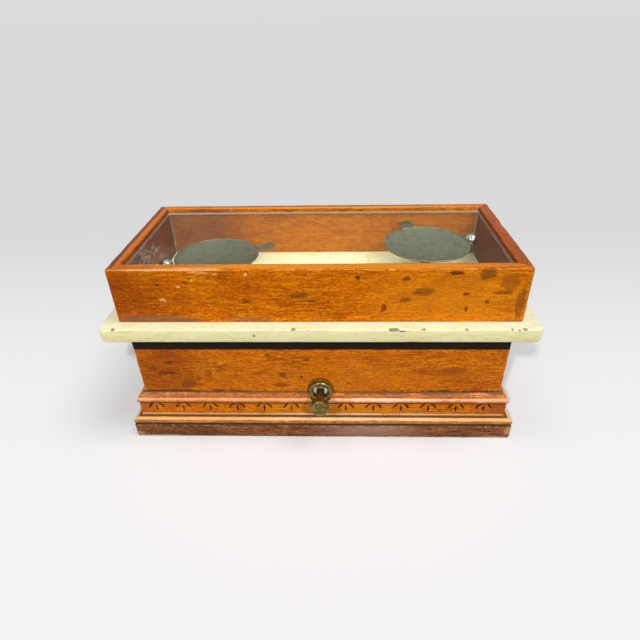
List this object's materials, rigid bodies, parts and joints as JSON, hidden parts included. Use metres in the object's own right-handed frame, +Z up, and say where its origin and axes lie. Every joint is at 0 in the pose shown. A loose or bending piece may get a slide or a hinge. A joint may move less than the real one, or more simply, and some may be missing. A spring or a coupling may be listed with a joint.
{
  "type": "torsion prescription balance",
  "caption": "Boxed torsion balance for weighing out medicines: pans on torsion-band beams over a wooden case, with an arrest knob and a lift-off glazed cover.",
  "frame": {"origin": "middle of the base board's underside, on the surface that the balance stands on", "axes": "+X to the right along the length, +Y to the back, +Z up; the knob is on the -Y front"},
  "size_m": [0.343, 0.1721, 0.1648],
  "materials": {
    "varnished_wood": "old orange-brown varnish, worn through at the arrises",
    "dark_wood": "dark, rubbed and dusty",
    "black_felt": "matt black",
    "cream_paint": "old cream gloss paint, chipped at the edges",
    "old_brass": "tarnished, bright where it is handled",
    "brass": "lacquered",
    "steel": "plain",
    "black_iron": "black japan",
    "tarnished_nickel": "grey-green tarnish, scuffed",
    "bright_nickel": "polished by handling",
    "ivory_scale": "yellowed celluloid",
    "leather_pad": "matt",
    "glass": "clear, dusty at its edges"
  },
  "bodies": {
    "root": {"base_board": "dark_wood", "bead_moulding": "varnished_wood", "front_frieze": "varnished_wood", "back_frieze": "varnished_wood", "left_frieze": "varnished_wood", "right_frieze": "varnished_wood", "crown_moulding": "varnished_wood", "front_wall": "varnished_wood", "back_wall": "varnished_wood", "left_wall": "varnished_wood", "right_wall": "varnished_wood", "corner_blocks": "dark_wood", "dust_strip": "black_felt", "plate_cleats": "dark_wood", "plate_screws": "steel", "top_plate": "cream_paint", "rosette": "old_brass", "shaft_bush": "steel", "bed_casting": "black_iron", "bed_screws": "steel", "centre_frame": "brass", "frame_screws": "steel", "centre_bands": "steel", "centre_clamps": "brass", "guide_posts": "steel", "beam_stops": "brass", "index_bracket": "brass", "index_scale": "ivory_scale"},
    "upper_beam": {"upper_beam": "black_iron", "pointer": "brass", "poise": "brass", "balance_rods": "steel", "balance_nuts": "brass"},
    "lower_beam": {"lower_beam": "black_iron"},
    "left_carrier": {"left_frame": "brass", "left_bands": "steel", "left_clamps": "brass", "left_column": "brass", "left_spider": "tarnished_nickel", "left_button": "bright_nickel"},
    "right_carrier": {"right_frame": "brass", "right_bands": "steel", "right_clamps": "brass", "right_column": "brass", "right_spider": "tarnished_nickel", "right_button": "bright_nickel"},
    "left_pan": {"left_pan": "tarnished_nickel"},
    "right_pan": {"right_pan": "tarnished_nickel"},
    "arrest": {"arrest_knob": "old_brass", "arrest_shaft": "old_brass", "arrest_cam": "brass", "shaft_collar": "steel"},
    "lifter": {"lifter": "black_iron", "lifter_pads": "leather_pad"},
    "cover": {"cover_front": "varnished_wood", "cover_back": "varnished_wood", "cover_left": "varnished_wood", "cover_right": "varnished_wood", "glass": "glass"}
  },
  "joints": [
    {"name": "beam_tilt", "type": "hinge", "parent": "root", "child": "upper_beam", "pos_m": [0, 0, 0.08], "axis": [0, 1, 0], "range_deg": [0, 6.5]},
    {"name": "lower_beam_tilt", "type": "hinge", "parent": "root", "child": "lower_beam", "pos_m": [0, 0, 0.038], "axis": [0, 1, 0], "range_deg": [0, 6.5]},
    {"name": "left_carrier_turn", "type": "hinge", "parent": "upper_beam", "child": "left_carrier", "pos_m": [-0.09135, 0, 0.07481], "axis": [0, 1, 0], "range_deg": [-6.5, 0]},
    {"name": "right_carrier_turn", "type": "hinge", "parent": "upper_beam", "child": "right_carrier", "pos_m": [0.09135, 0, 0.08519], "axis": [0, 1, 0], "range_deg": [-6.5, 0]},
    {"name": "left_pan_turn", "type": "hinge", "parent": "left_carrier", "child": "left_pan", "pos_m": [-0.09135, 0, 0.13661], "axis": [0, 0, 1], "range_deg": [-160, 150]},
    {"name": "right_pan_turn", "type": "hinge", "parent": "right_carrier", "child": "right_pan", "pos_m": [0.09135, 0, 0.14699], "axis": [0, 0, 1], "range_deg": [-62, 245]},
    {"name": "arrest_turn", "type": "hinge", "parent": "root", "child": "arrest", "pos_m": [0, -0.0645, 0.0473], "axis": [0, 1, 0], "range_deg": [0, 90]},
    {"name": "lifter_lift", "type": "slide", "parent": "root", "child": "lifter", "axis": [0, 0, 1], "range_m": [0, 0.003]},
    {"name": "cover_lift", "type": "slide", "parent": "root", "child": "cover", "axis": [0, 0, 1], "range_m": [0, 0.08]}
  ],
  "couplings": [
    {"joint": "lower_beam_tilt", "follows": "beam_tilt", "ratio": 1},
    {"joint": "left_carrier_turn", "follows": "beam_tilt", "ratio": -1},
    {"joint": "right_carrier_turn", "follows": "beam_tilt", "ratio": -1},
    {"joint": "arrest_turn", "follows": "lifter_lift", "rad_per_m": 523.6}
  ]
}
